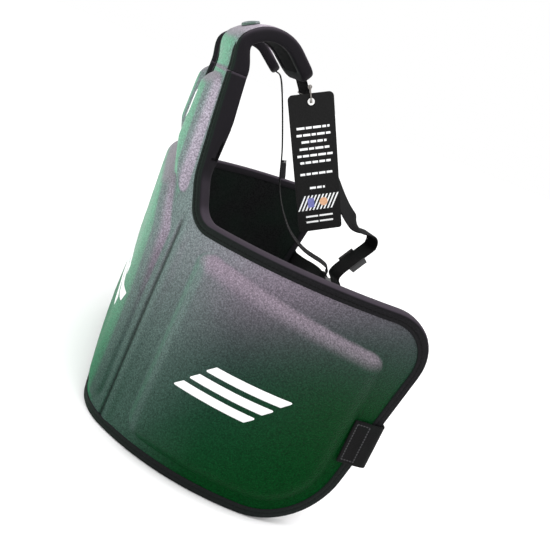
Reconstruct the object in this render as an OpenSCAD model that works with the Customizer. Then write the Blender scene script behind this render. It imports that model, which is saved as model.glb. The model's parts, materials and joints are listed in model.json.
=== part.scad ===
// Chest protector for boxing and martial arts: a moulded chest panel, two folding side wings,
// two padded shoulder straps, webbing harness, side-release belt buckle and hang tag.
// Millimetres. +X is the wearer's left, the chest faces -Y, +Z is up, and Z = 0 is the bottom edge.

/* [Panel] */
// Height of the side wings
wing_h = 260; // [240:5:270]
// Height of the crease where the shoulder straps begin
crease_z = 400; // [395:5:405]
// Thickness of the foam core
foam_t = 7; // [6:0.5:8]
// Thickness of the leather cover
cover_t = 1.5; // [1.5:0.25:2]
// Thickness of the padded lining
lining_t = 3; // [2.5:0.5:3.5]
// Height that the strap and wing pads stand above the cover's base surface
pad_rise = 9; // [8:0.5:10]
// Height that the centre pad stands above the cover's base surface
centre_rise = 4; // [3:0.5:6]
// Thickness of the edge binding
bind_t = 1.2; // [1:0.1:1.4]
// Width of the binding's flaps on the panel's faces
bind_w = 10; // [8:0.5:10]
// Backward lean of the panels in degrees
lean = 4; // [3:0.5:5]

/* [Plan curve] */
// Length of the nearly flat front on each side of the middle
front_len = 106; // [104:1:108]
// Turn of the front stretch in degrees
front_turn = 1; // [0.5:0.5:2]
// Length of the tighter bend beside the chest
bend_len = 69; // [67:1:71]
// Turn of the tighter bend in degrees
bend_turn = 42; // [40:0.5:43]
// Length of the side stretch up to the rear edge
side_len = 285; // [279:2:291]
// Turn of the side stretch in degrees
side_turn = 51.5; // [49:0.5:53]
// Distance along the curve from the middle to the fold line
fold_s = 171; // [170:1:173]

/* [Shoulders] */
// Width of a strap column where it leaves the chest
strap_w = 82; // [76:1:84]
// Width of the strap's padded end
strap_end_w = 56; // [50:1:60]
// Distance from the middle plane to the strap column's centre
strap_x = 111; // [110:1:112]
// Height of the bottom of the neck opening
neck_z = 318; // [310:2:325]
// Turn of the straps towards the spine in degrees
strap_turn = 9; // [7:1:11]

/* [Webbing and buckle] */
// Width of the waist belt
belt_w = 50; // [45:1:50]
// Height of the waist belt's lower edge
belt_z = 95; // [90:1:98]
// Rise of the waist belt from the wings to the buckle
belt_rise = 30; // [26:1:34]
// Width of the shoulder webbing
web_w = 25; // [20:1:28]
// Thickness of all webbing
web_t = 1.8; // [1.4:0.1:2]
// Sideways place of the buckle's mouth
mouth_x = -20; // [-24:1:-16]

/* [Hang tag] */
// Width of the card
tag_w = 47; // [42:1:50]
// Length of the card
tag_l = 142; // [125:1:146]
// Backward lean of the hanging tag in degrees
tag_lean = 27; // [20:1:32]

/* [Hidden] */
$fn = 48;

leather_black = [0.07, 0.075, 0.07];
foam_grey = [0.22, 0.22, 0.23];
mesh_black = [0.05, 0.05, 0.055];
web_black = [0.06, 0.06, 0.065];
plastic_black = [0.04, 0.04, 0.045];

glue = 0.1;                                  // glue line between two bonded layers
step_s = 10;                                 // length of one straight step along the plan curve
base_z = bind_t;                             // the panels stand on the binding
foam_d = cover_t + glue;                     // depth of the foam core's front
lining_d = foam_d + foam_t + glue;           // depth of the lining's front
panel_t = lining_d + lining_t;               // full thickness of a panel
front_y = -panel_t / 2;                      // puts the middle of the bottom edge at the origin
end_s = front_len + bend_len + side_len;     // rear edge at the top of the wing
rear_slant = 0.12;                           // forward shift of the rear edge per unit of depth below the top
arm_x = strap_x + strap_w / 2;               // armhole edge of a strap column
neck_x = strap_x - strap_w / 2;              // neck edge of a strap column
fold_gap = 0.2;                              // half the gap left at a fold

// ---- plan curve -------------------------------------------------------------------------

// End of an arc that starts at p with heading h and turns by t degrees over a length l
function arc_end(p, h, l, t) =
    l <= 0 ? p : let(r = l / (t * PI / 180)) p + r * [sin(h + t) - sin(h), cos(h) - cos(h + t)];

// Heading of the curve at distance s from the middle
function heading(s) =
    s < front_len ? front_turn * s / front_len :
    s < front_len + bend_len ? front_turn + bend_turn * (s - front_len) / bend_len :
    front_turn + bend_turn + side_turn * (s - front_len - bend_len) / side_len;

// Point of the curve at distance s from the middle
function spot(s) =
    s <= front_len ? arc_end([0, front_y], 0, s, heading(s)) :
    s <= front_len + bend_len ?
        arc_end(spot(front_len), front_turn, s - front_len, heading(s) - front_turn) :
    arc_end(spot(front_len + bend_len), front_turn + bend_turn, s - front_len - bend_len,
        heading(s) - front_turn - bend_turn);

// Point at distance s and depth d behind the cover's base surface; negative s is the right side
function skin(s, d) =
    let(a = heading(abs(s)), p = spot(abs(s)) + d * [-sin(a), cos(a)]) [s < 0 ? -p.x : p.x, p.y];

// Y of a leaning upright line at height z, for a line that meets the plan curve's frame at y
function lean_y(y, z) = y / cos(lean) + z * tan(lean);
function edge_y(s, z) = lean_y(spot(s).y, z);

// Distances from s0 to s1 in steps of about step_s
function stations(s0, s1) = let(n = ceil((s1 - s0) / step_s)) [for (i = [0:n]) s0 + (s1 - s0) * i / n];

function backwards(list) = [for (i = [len(list) - 1:-1:0]) list[i]];

// Leaning slab that follows the curve between two distances and two depths, cut level at z0 and z1
module band(s0, s1, d0, d1, z0, z1) {
    s_list = stations(s0, s1);
    intersection() {
        rotate([-lean, 0, 0])
            translate([0, 0, z0 - 40])
                linear_extrude(z1 - z0 + 80)
                    polygon(concat([for (s = s_list) skin(s, d0)],
                        [for (s = backwards(s_list)) skin(s, d1)]));
        translate([-400, -100, z0])
            cube([800, 500, z1 - z0]);
    }
}

// ---- outlines ---------------------------------------------------------------------------

function unit(v) = v / norm(v);
function out_normal(a, b) = let(u = unit(b - a)) [u.y, -u.x];
function cross_z(a, b) = a.x * b.y - a.y * b.x;

// Outline with every straight edge moved outwards by g; entries are [x, y, corner radius]
function grown(pts, g) =
    let(n = len(pts))
    [for (i = [0:n - 1])
        let(a = pts[(i + n - 1) % n], b = pts[i], c = pts[(i + 1) % n],
            m = out_normal([a.x, a.y], [b.x, b.y]), k = out_normal([b.x, b.y], [c.x, c.y]),
            q = [b.x, b.y] + g * (m + k) / (1 + m * k),
            turn = cross_z([b.x - a.x, b.y - a.y], [c.x - b.x, c.y - b.y]))
        [q.x, q.y, max(0.5, b.z + (turn > 0 ? g : -g))]];

// Outline with its corners rounded by arcs of six steps
function rounded(pts) =
    let(n = len(pts))
    [for (i = [0:n - 1])
        let(a = pts[(i + n - 1) % n], b = pts[i], c = pts[(i + 1) % n],
            u = unit([a.x - b.x, a.y - b.y]), w = unit([c.x - b.x, c.y - b.y]),
            half = acos(u * w) / 2, o = [b.x, b.y] + unit(u + w) * b.z / sin(half),
            p = [b.x, b.y] + u * b.z / tan(half) - o,
            sweep = (180 - 2 * half) * (cross_z(u, w) < 0 ? 1 : -1))
        for (k = [0:6])
            let(t = sweep * k / 6) o + [p.x * cos(t) - p.y * sin(t), p.x * sin(t) + p.y * cos(t)]];

// Prism of an outline in X and Z, seen from the front
module front_prism(pts) {
    translate([0, 150, 0])
        rotate([90, 0, 0])
            linear_extrude(200)
                polygon(rounded(pts));
}

// Prism of an outline in Y and Z, seen from the left side
module side_prism(pts) {
    translate([100, 0, 0])
        rotate([90, 0, 90])
            linear_extrude(250)
                polygon(rounded(pts));
}

over = 60;                                   // how far an outline runs past a fold before it is cut
fold_x = spot(fold_s).x;
arm_low_z = wing_h + 40;                     // height at which the armhole's edge crosses the fold line
arm_flare = (fold_x - arm_x) / (crease_z - arm_low_z);

// Chest outline: bottom, armholes, strap columns and neck opening
chest_outline = [
    [-fold_x - over, base_z, 5], [fold_x + over, base_z, 5],
    [fold_x + over, arm_low_z - 10, 5], [fold_x + 10 * arm_flare, arm_low_z - 10, 1],
    [arm_x - over * arm_flare, crease_z + over, 5], [neck_x, crease_z + over, 5],
    [neck_x, neck_z, 45], [-neck_x, neck_z, 45],
    [-neck_x, crease_z + over, 5], [-arm_x + over * arm_flare, crease_z + over, 5],
    [-fold_x - 10 * arm_flare, arm_low_z - 10, 1], [-fold_x - over, arm_low_z - 10, 5]
];

// Wing outline with its slanted rear edge, large rear corners and the armhole's lower corner
arm_corner = [edge_y(fold_s + 17, wing_h), wing_h];
arm_rise = [edge_y(fold_s, arm_low_z), arm_low_z] - arm_corner;
wing_outline = [
    [edge_y(fold_s, 0) - over, base_z, 5],
    [edge_y(end_s - rear_slant * wing_h, base_z), base_z, 80],
    [edge_y(end_s, wing_h), wing_h, 50],
    [arm_corner.x, arm_corner.y, 22],
    [arm_corner.x + 2 * arm_rise.x, arm_corner.y + 2 * arm_rise.y, 5],
    [edge_y(fold_s, 0) - over, arm_corner.y + 2 * arm_rise.y, 5]
];

// Raised pad on the front of the chest, with its top corners cut back above the fold lines
centre_edge_x = spot(fold_s - 10).x;
centre_pad_outline = [
    [-centre_edge_x, base_z + 15, 22], [centre_edge_x, base_z + 15, 22],
    [centre_edge_x, wing_h - 22, 14], [centre_edge_x - 29, wing_h + 24, 14],
    [-centre_edge_x + 29, wing_h + 24, 14], [-centre_edge_x, wing_h - 22, 14]
];

// Raised pad on a strap column
upper_pad_outline = [
    [neck_x + 14, wing_h + 46, 12], [fold_x - 58, wing_h + 46, 12], [fold_x - 10, wing_h + 8, 7],
    [arm_x - 14, crease_z - 8, 16], [neck_x + 14, crease_z - 8, 16]
];

// Raised pad on a wing
wing_pad_s = [208, 418];
wing_pad_outline = [
    [edge_y(wing_pad_s[0], 22), 22, 20], [edge_y(wing_pad_s[1], 22), 22, 60],
    [edge_y(wing_pad_s[1], wing_h - 47), wing_h - 47, 18],
    [edge_y(wing_pad_s[0], wing_h - 20), wing_h - 20, 14]
];

module left_and_right() {
    children();
    mirror([1, 0, 0]) children();
}

// ---- chest panel ------------------------------------------------------------------------

chest_s = fold_s - fold_gap;
chest_top = crease_z - fold_gap;

module chest_slab(d0, d1, g = 0) {
    intersection() {
        band(-chest_s, chest_s, d0, d1, 0, chest_top);
        front_prism(grown(chest_outline, g));
    }
}

// Raised blocks under the chest cover, grown by g on the sides
module centre_block(d0, d1, g) {
    intersection() {
        band(-chest_s, chest_s, d0, d1, 0, crease_z);
        front_prism(grown(centre_pad_outline, g));
    }
}

module upper_block(d0, d1, g) {
    intersection() {
        band(-chest_s, chest_s, d0, d1, 0, crease_z);
        front_prism(grown(upper_pad_outline, g));
    }
}

module chest_cover() {
    color(leather_black)
        difference() {
            union() {
                chest_slab(0, cover_t);
                centre_block(-centre_rise - cover_t, cover_t, cover_t);
                left_and_right() upper_block(-pad_rise - cover_t, cover_t, cover_t);
            }
            centre_block(-centre_rise - glue, cover_t + 5, glue);
            left_and_right() upper_block(-pad_rise - glue, cover_t + 5, glue);
        }
}

module centre_pad_foam() { color(foam_grey) centre_block(-centre_rise, cover_t, 0); }
module upper_pad_foam_left() { color(foam_grey) upper_block(-pad_rise, cover_t, 0); }
module upper_pad_foam_right() { mirror([1, 0, 0]) upper_pad_foam_left(); }
module chest_foam() { color(foam_grey) chest_slab(foam_d, foam_d + foam_t); }
module chest_lining() { color(mesh_black) chest_slab(lining_d, panel_t); }

// Folded strip round the free edges of the chest
module chest_binding() {
    color(web_black)
        difference() {
            chest_slab(-bind_t, panel_t + bind_t, bind_t);
            chest_slab(-glue, panel_t + glue, glue);
            translate([0, -30, 0])
                front_prism(grown(chest_outline, -bind_w));
        }
}

// ---- side wings -------------------------------------------------------------------------

module wing_slab(d0, d1, g = 0) {
    intersection() {
        band(fold_s + fold_gap, end_s + 20, d0, d1, 0, arm_low_z + 20);
        side_prism(grown(wing_outline, g));
    }
}

module wing_block(d0, d1, g) {
    intersection() {
        band(wing_pad_s[0] - 20, wing_pad_s[1] + 20, d0, d1, 0, wing_h);
        side_prism(grown(wing_pad_outline, g));
    }
}

module wing_cover_left() {
    color(leather_black)
        difference() {
            union() {
                wing_slab(0, cover_t);
                wing_block(-pad_rise - cover_t, cover_t, cover_t);
            }
            wing_block(-pad_rise - glue, cover_t + 5, glue);
        }
}

module wing_pad_foam_left() { color(foam_grey) wing_block(-pad_rise, cover_t, 0); }
module wing_foam_left() { color(foam_grey) wing_slab(foam_d, foam_d + foam_t); }
module wing_lining_left() { color(mesh_black) wing_slab(lining_d, panel_t); }

// Folded strip round the top, rear and bottom edges of a wing
module wing_binding_left() {
    color(web_black)
        difference() {
            wing_slab(-bind_t, panel_t + bind_t, bind_t);
            wing_slab(-glue, panel_t + glue, glue);
            side_prism(grown(wing_outline, -bind_w));
        }
}

// Rear edge of the wing at the top of the belt
belt_top_s = end_s - rear_slant * (wing_h - belt_z - belt_w);
wrap_y = edge_y(belt_top_s, belt_z + belt_w) + bind_t + 1;    // front of the webbing that wraps the rear edge
patch_s = 420;                               // front end of the sewn patch
wrap_out_x = skin(belt_top_s, -bind_t - glue - web_t).x;
wrap_in_x = skin(belt_top_s, panel_t + bind_t + 2).x;
belt_y = wrap_y + web_t / 2;                 // middle plane of the belt across the back
pivot_x = wrap_in_x - 1.2;                   // axis on which the free belt bends at the wing's edge

// Belt end sewn on the outer face of a wing and wrapped round its rear edge
module belt_anchor_left() {
    color(web_black) {
        intersection() {
            band(patch_s, end_s + 20, -bind_t - glue - web_t, -bind_t - glue, belt_z, belt_z + belt_w);
            translate([0, 0, belt_z])
                cube([400, wrap_y + web_t, belt_w]);
        }
        translate([wrap_in_x, wrap_y, belt_z])
            cube([wrap_out_x - wrap_in_x, web_t, belt_w]);
    }
}

module wing_cover_right() { mirror([1, 0, 0]) wing_cover_left(); }
module wing_foam_right() { mirror([1, 0, 0]) wing_foam_left(); }
module wing_pad_foam_right() { mirror([1, 0, 0]) wing_pad_foam_left(); }
module wing_lining_right() { mirror([1, 0, 0]) wing_lining_left(); }
module wing_binding_right() { mirror([1, 0, 0]) wing_binding_left(); }
module belt_anchor_right() { mirror([1, 0, 0]) belt_anchor_left(); }

// ---- shoulder straps --------------------------------------------------------------------
// A strap is drawn in its own frame: X across the strap, Y backwards, Z up.

strap_y = lean_y(spot(strap_x).y, crease_z) - 1; // front of the strap at the crease
arch_r = 43;                                 // outer radius of the arch
arch_y = arch_r - 2;                         // the arch bulges a little in front of the crease
arch_z = crease_z + 7;
inner_r = 31.5;                              // inner radius of the arch
inner_y = arch_y - 1;
inner_z = arch_z + 1;
arch_end_a = 52;                             // angle at which the arch runs into its straight tail
tail_l = 27;                                 // length of the straight tail
tail_skew = [arch_y - inner_y, arch_z - inner_z] * [sin(arch_end_a), -cos(arch_end_a)];

module in_strap_frame() {
    translate([strap_x, strap_y, 0])
        rotate([0, 0, strap_turn])
            children();
}

// Values from a to b in n equal steps
function stepped(a, b, n) = [for (i = [0:n]) a + (b - a) * i / n];

// Side view of the arch's outer face moved in by g, from the crease to the tail
function outer_line(g, tail) =
    concat([[g, crease_z]],
        [for (a = stepped(174, arch_end_a, 14)) [arch_y, arch_z] + (arch_r - g) * [cos(a), sin(a)]],
        [[arch_y, arch_z] + (arch_r - g) * [cos(arch_end_a), sin(arch_end_a)]
            + tail * [sin(arch_end_a), -cos(arch_end_a)]]);

// Side view of the arch's inner face moved out by g
function inner_line(g, tail) =
    concat([[inner_y - inner_r - g, crease_z]],
        [for (a = stepped(178, arch_end_a, 12)) [inner_y, inner_z] + (inner_r + g) * [cos(a), sin(a)]],
        [[inner_y, inner_z] + (inner_r + g) * [cos(arch_end_a), sin(arch_end_a)]
            + (tail + tail_skew) * [sin(arch_end_a), -cos(arch_end_a)]]);

// Arch between two side lines, trimmed to the strap's tapering plan and raised off the crease
module arch(front_line, back_line, g) {
    intersection() {
        translate([-100, 0, 0])
            rotate([90, 0, 90])
                linear_extrude(200)
                    polygon(concat(backwards(front_line), back_line));
        translate([0, 0, crease_z + fold_gap])
            linear_extrude(100)
                polygon([
                    [-strap_w / 2 - g, -20], [strap_w / 2 + g, -20], [strap_w / 2 + g, 15],
                    [strap_end_w / 2 + g, 130], [-strap_end_w / 2 - g, 130], [-strap_w / 2 - g, 15]
                ]);
    }
}

module shoulder_cover_left() {
    color(leather_black)
        in_strap_frame() arch(outer_line(0, tail_l), outer_line(cover_t, tail_l), 0);
}

module shoulder_foam_left() {
    color(foam_grey)
        in_strap_frame() arch(outer_line(foam_d, tail_l), inner_line(cover_t + glue, tail_l), 0);
}

module shoulder_lining_left() {
    color(mesh_black)
        in_strap_frame() arch(inner_line(cover_t, tail_l), inner_line(0, tail_l), 0);
}

// Folded strip along both sides and the end of a strap
module shoulder_binding_left() {
    color(web_black)
        in_strap_frame()
            difference() {
                arch(outer_line(-bind_t, tail_l + bind_t), inner_line(-bind_t, tail_l + bind_t), bind_t);
                arch(outer_line(-glue, tail_l + glue), inner_line(-glue, tail_l + glue), glue);
                arch(outer_line(-10, tail_l - bind_w), inner_line(-10, tail_l - bind_w), -bind_w);
            }
}

// Places a flat piece on the outer face of the arch, its underside at Z = 0
module on_arch(angle, lift) {
    in_strap_frame()
        translate([0, arch_y + (arch_r + lift) * cos(angle), arch_z + (arch_r + lift) * sin(angle)])
            rotate([angle - 90, 0, 0])
                children();
}

badge_l = 30;
badge_w = 20;

// Moulded rubber badge with a raised rim
module shoulder_badge_left() {
    plate = [
        [-badge_l / 2, 0, 2], [-badge_l / 3, -badge_w / 2, 3], [badge_l / 3, -badge_w / 2, 3],
        [badge_l / 2, 0, 2], [badge_l / 3, badge_w / 2, 3], [-badge_l / 3, badge_w / 2, 3]
    ];
    color(plastic_black)
        on_arch(118, glue)
            difference() {
                linear_extrude(3) polygon(rounded(plate));
                translate([0, 0, 2]) linear_extrude(2) polygon(rounded(grown(plate, -2.5)));
            }
}

// Woven label on the strap's tail
module strap_label_left() {
    color("white")
        on_arch(58, glue)
            translate([-11, -5, 0])
                cube([22, 10, 0.8]);
}

// Each shoulder webbing hangs in an upright plane from its strap's tail to its belt loop
tail_mid = [(arch_y + inner_y) / 2, (arch_z + inner_z) / 2]
    + (arch_r + inner_r) / 2 * [cos(arch_end_a), sin(arch_end_a)]
    + (tail_l + tail_skew / 2 + bind_t + 3.4) * [sin(arch_end_a), -cos(arch_end_a)];
web_from = [strap_x - tail_mid.x * sin(strap_turn), strap_y + tail_mid.x * cos(strap_turn)];
web_top = tail_mid.y;
left_x = 40;                                 // place of the left belt loop
right_x = 66;                                // mirrored place of the right belt loop
web_low = belt_z + belt_rise + belt_w + 6;

function web_turn(to_x) = atan2(belt_y - web_from.y, to_x - web_from.x);
function web_run(to_x) = norm([to_x, belt_y] - web_from);

module in_web_plane(to_x) {
    translate([web_from.x, web_from.y, 0])
        rotate([0, 0, web_turn(to_x)])
            children();
}

// Strip of webbing along a line in the plane, w wide; the two ends are cut square
module strip(pts, w) {
    n = len(pts);
    normals = [for (i = [0:n - 1])
        let(a = pts[max(0, i - 1)], c = pts[min(n - 1, i + 1)], u = unit(c - a)) [-u.y, u.x] * web_t / 2];
    rotate([90, 0, 0])
        translate([0, 0, -w / 2])
            linear_extrude(w)
                polygon(concat([for (i = [0:n - 1]) pts[i] + normals[i]],
                    [for (i = [n - 1:-1:0]) pts[i] - normals[i]]));
}

// Round turn of the slack left webbing: centre and radius
turn_o = [web_run(left_x) - 8, 266];
turn_r = 12;
slack_end = turn_o + [-22, -47];
slack_line = concat(
    [[0, web_top], [8, web_top - 9], [20, web_top - 23], [70, 347], [119, 302], [turn_o.x - 18, 281]],
    [for (a = [100:-28:-40]) turn_o + turn_r * [cos(a), sin(a)]],
    [slack_end, slack_end + [5, -14], slack_end + [14, -23],
        [web_run(left_x), web_low + 9], [web_run(left_x), web_low]]);

// The right webbing hangs close behind the strap and runs low to the buckle
taut_line = [
    [0, web_top], [13, web_top - 12], [44, 330], [64, 268], [94, 224], [126, 202],
    [web_run(right_x) - 12, 193], [web_run(right_x), web_low + 8], [web_run(right_x), web_low]
];

module shoulder_webbing_left() { color(web_black) in_web_plane(left_x) strip(slack_line, web_w); }

module shoulder_webbing_right() {
    color(web_black)
        mirror([1, 0, 0])
            in_web_plane(right_x)
                strip(taut_line, web_w);
}

// Three-bar slider that sets the length of the shoulder webbing
slider_h = 22;
slider_bar = 3;

module slider() {
    inner_w = web_w + 1.5;
    slot_h = (slider_h - 3 * slider_bar) / 2;
    difference() {
        translate([-2, -inner_w / 2 - slider_bar, -slider_h / 2])
            cube([7, inner_w + 2 * slider_bar, slider_h]);
        for (side = [-1, 1])
            translate([-3, -inner_w / 2, side * (slot_h + slider_bar) / 2 - slot_h / 2])
                cube([9, inner_w, slot_h]);
        translate([-3, -inner_w / 2, -slider_h / 2 - 1])
            cube([4.5, inner_w, slider_h + 2]);
    }
}

// Slider on the webbing between two points of its line, turned into the line's direction
module slider_between(a, b) {
    translate([(a.x + b.x) / 2, 0, (a.y + b.y) / 2])
        rotate([0, atan2(b.x - a.x, b.y - a.y), 0])
            translate([-0.25, 0, 0])
                slider();
}

slack_start = turn_o + turn_r * [cos(-40), sin(-40)];

module shoulder_slider_left() {
    color(plastic_black)
        in_web_plane(left_x)
            slider_between(slack_end, slack_start);
}

module shoulder_slider_right() {
    color(plastic_black)
        mirror([1, 0, 0])
            in_web_plane(right_x)
                slider_between(taut_line[3], taut_line[2]);
}

module shoulder_cover_right() { mirror([1, 0, 0]) shoulder_cover_left(); }
module shoulder_foam_right() { mirror([1, 0, 0]) shoulder_foam_left(); }
module shoulder_lining_right() { mirror([1, 0, 0]) shoulder_lining_left(); }
module shoulder_binding_right() { mirror([1, 0, 0]) shoulder_binding_left(); }
module shoulder_badge_right() { mirror([1, 0, 0]) shoulder_badge_left(); }
module strap_label_right() { mirror([1, 0, 0]) strap_label_left(); }

// ---- belt and side-release buckle --------------------------------------------------------

belt_mid_z = belt_z + belt_rise + belt_w / 2;
female_l = 46;                               // length of the female body
buckle_t = 13;                               // thickness of both buckle halves
buckle_h = 58;                               // height of both buckle halves
cavity_l = 32;                               // depth of the mouth
cavity_t = 7;
cavity_h = 54;
bar_r = 2.2;                                 // radius of the bars that hold the webbing
bar_in = 6;                                  // from the buckle's end to the bar's axis
male_l = 26;                                 // length of the male base
prong_l = 26;
bar_slot = 9;                                // clear length round a bar
female_bar_x = mouth_x + female_l - bar_in;
male_bar_x = mouth_x - 1 - male_l + bar_in;

module in_buckle_frame() { translate([0, belt_y, belt_mid_z]) children(); }

module bar(x) {
    translate([x, 0, -belt_w / 2 - 2])
        cylinder(r = bar_r, h = belt_w + 4);
}

// Free room round a bar and out through the buckle's end for the webbing
module bar_room(x, side) {
    translate([x - bar_slot / 2, -buckle_t, -belt_w / 2 - 1])
        cube([bar_slot, 2 * buckle_t, belt_w + 2]);
    translate([side > 0 ? x : x - bar_in - 1, -4.6, -belt_w / 2 - 1])
        cube([bar_in + 1, 9.2, belt_w + 2]);
}

module buckle_female() {
    color(plastic_black)
        in_buckle_frame()
            union() {
                difference() {
                    translate([mouth_x, -buckle_t / 2, -buckle_h / 2])
                        cube([female_l, buckle_t, buckle_h]);
                    translate([mouth_x - 1, -cavity_t / 2, -cavity_h / 2])
                        cube([cavity_l + 1, cavity_t, cavity_h]);
                    for (side = [-1, 1])
                        translate([mouth_x + 8, -cavity_t / 2, side * buckle_h / 2 - 6])
                            cube([20, cavity_t, 12]);
                    bar_room(female_bar_x, 1);
                }
                bar(female_bar_x);
            }
}

// Male base with its middle guide
module buckle_male() {
    color(plastic_black)
        in_buckle_frame()
            union() {
                difference() {
                    translate([mouth_x - 1 - male_l, -buckle_t / 2, -buckle_h / 2])
                        cube([male_l, buckle_t, buckle_h]);
                    bar_room(male_bar_x, -1);
                    for (side = [-1, 1])
                        translate([mouth_x - 9, -cavity_t / 2 - 0.5, side * prong_z - 8])
                            cube([10, cavity_t + 1, 16]);
                }
                bar(male_bar_x);
                translate([mouth_x - 3, -2.5, -5])
                    cube([prong_l, 5, 10]);
            }
}

prong_z = 18.5;                              // height of a prong's arm from the buckle's middle
prong_root_x = mouth_x - 5;                  // axis on which a prong flexes

// Springy side arm with a catch that stands in the female body's window
module prong() {
    in_buckle_frame() {
        translate([prong_root_x, -cavity_t / 2 + 0.4, prong_z - 2.5])
            cube([prong_l + 5, cavity_t - 0.8, 5]);
        translate([prong_root_x, cavity_t / 2 - 0.4, prong_z])
            rotate([90, 0, 0])
                cylinder(r = 3.4, h = cavity_t - 0.8);
        translate([mouth_x + 9, -cavity_t / 2 + 0.4, prong_z])
            cube([17, cavity_t - 0.8, buckle_h / 2 - prong_z]);
    }
}

module prong_upper() { color(plastic_black) prong(); }

module prong_lower() {
    color(plastic_black)
        translate([0, 0, 2 * belt_mid_z])
            mirror([0, 0, 1])
                prong();
}

loop_r = bar_r + 0.3;

// Free belt from a wing's edge up to a buckle bar, with its end sewn round the bar
module belt_run(from_x, bar_x) {
    side = sign(from_x - bar_x);
    top_z = belt_z + belt_rise;
    start_x = bar_x + side * (sqrt(pow(loop_r + web_t, 2) - pow(web_t / 2, 2)) - 1);
    bend_x = side * 88;
    translate([bar_x, belt_y, top_z])
        difference() {
            cylinder(r = loop_r + web_t, h = belt_w);
            translate([0, 0, -1]) cylinder(r = loop_r, h = belt_w + 2);
        }
    translate([0, belt_y + web_t / 2, 0])
        rotate([90, 0, 0])
            linear_extrude(web_t)
                polygon([
                    [start_x, top_z], [bend_x, top_z], [from_x, belt_z],
                    [from_x, belt_z + belt_w], [bend_x, top_z + belt_w], [start_x, top_z + belt_w]
                ]);
}

module belt_webbing_left() { color(web_black) belt_run(pivot_x - 1.2, female_bar_x); }
module belt_webbing_right() { color(web_black) belt_run(-pivot_x + 1.2, male_bar_x); }

// Loop of webbing that hangs the belt from a shoulder webbing
module belt_loop(x) {
    gap = 0.5;
    color(web_black)
        translate([x, belt_y, belt_mid_z])
            difference() {
                cube([web_w, web_t * 3 + 2 * gap, belt_w + 2 * web_t + 2 * gap], center = true);
                cube([web_w + 2, web_t + 2 * gap, belt_w + 2 * gap], center = true);
            }
}

module belt_loop_left() { belt_loop(left_x); }
module belt_loop_right() { belt_loop(-right_x); }

// ---- hang tag ---------------------------------------------------------------------------

string_r = 0.6;
loop_t = 10;                                 // distance along the webbing plane to the string loop
loop_z = web_top - 11.3;
string_gap = web_t / 2 + string_r + 0.4;     // from the webbing's middle to the string's middle
tag_x = web_from.x + web_w / 2 + 26;
tag_pivot = [tag_x, web_from.y + 3, web_top - 3.5];
tag_drop = 12;                               // from the pivot to the eyelet's upper side
eyelet_z = tag_drop + 2;                     // from the pivot to the middle of the eyelet
strand_x = 1.6;                              // sideways place of the string's two strands
card_t = 0.6;
eyelet_r = 3.5;

// Cylinder from one point to another
module rod(a, b, r) {
    v = b - a;
    translate(a)
        rotate([0, acos(v.z / norm(v)), atan2(v.y, v.x)])
            cylinder(r = r, h = norm(v));
}

// String tied round the webbing, with a stalk that reaches out beside it
module tag_string_loop() {
    half = web_w / 2 + 0.6;
    color("dimgray")
        union() {
            in_web_plane(left_x)
                translate([loop_t, 0, loop_z])
                    rotate([0, 45, 0]) {
                        for (side = [-1, 1]) {
                            rod([0, -half, side * string_gap], [0, half, side * string_gap], string_r);
                            translate([0, side * half, 0])
                                rotate([90, 0, side > 0 ? 90 : -90])
                                    rotate([0, 0, 270])
                                        rotate_extrude(angle = 180, $fn = 32)
                                            translate([string_gap, 0]) circle(r = string_r, $fn = 24);
                        }
                    }
            rod(stalk_from, tag_pivot - [3, 0, 0], string_r);
            translate(tag_pivot - [3, 0, 0]) sphere(string_r + 0.3);
            rod(tag_pivot - [3, 0, 0], tag_pivot + [2, 0, 0], string_r);
        }
}

stalk_from = [web_from.x + loop_t * cos(web_turn(left_x)) + (web_w / 2 + 1.5) * sin(web_turn(left_x)),
    web_from.y + loop_t * sin(web_turn(left_x)) - (web_w / 2 + 1.5) * cos(web_turn(left_x)), loop_z];

module in_tag_frame() {
    translate(tag_pivot)
        rotate([tag_lean, 0, 0])
            children();
}

// Ring round the stalk and the short string down to the eyelet
module tag_string() {
    ring_r = 1.6;
    color("dimgray")
        in_tag_frame()
            union() {
                rotate([0, 90, 0])
                    rotate_extrude($fn = 32)
                        translate([ring_r, 0]) circle(r = string_r, $fn = 24);
                for (side = [-1, 1])
                    rod([side * strand_x, 0, -ring_r - 0.5], [side * strand_x, 0, 0.5 - eyelet_z], string_r);
                for (z = [-ring_r - 0.5, -eyelet_z])
                    rod([-strand_x - 0.8, 0, z], [strand_x + 0.8, 0, z], string_r + 0.15);
            }
}

module tag_eyelet() {
    color("white")
        in_tag_frame()
            translate([-card_t / 2 - 0.5, 0, -tag_drop - 2])
                rotate([0, 90, 0])
                    difference() {
                        union() {
                            cylinder(r = 2.2, h = card_t + 1);
                            cylinder(r = eyelet_r, h = 0.4);
                            translate([0, 0, card_t + 0.6]) cylinder(r = eyelet_r, h = 0.4);
                        }
                        translate([0, 0, -1]) cylinder(r = 1.5, h = card_t + 3);
                    }
}

module hang_tag() {
    card = [
        [-tag_w / 2, -tag_l, 3], [tag_w / 2, -tag_l, 3], [tag_w / 2, 0, 5], [-tag_w / 2, 0, 5]
    ];
    color([0.05, 0.05, 0.05])
        in_tag_frame()
            difference() {
                translate([-card_t / 2, 0, -tag_drop + 6])
                    rotate([90, 0, 90])
                        linear_extrude(card_t)
                            polygon(rounded(card));
                translate([-2, 0, -tag_drop - 2])
                    rotate([0, 90, 0])
                        cylinder(r = 2.25, h = 4);
            }
}

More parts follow.
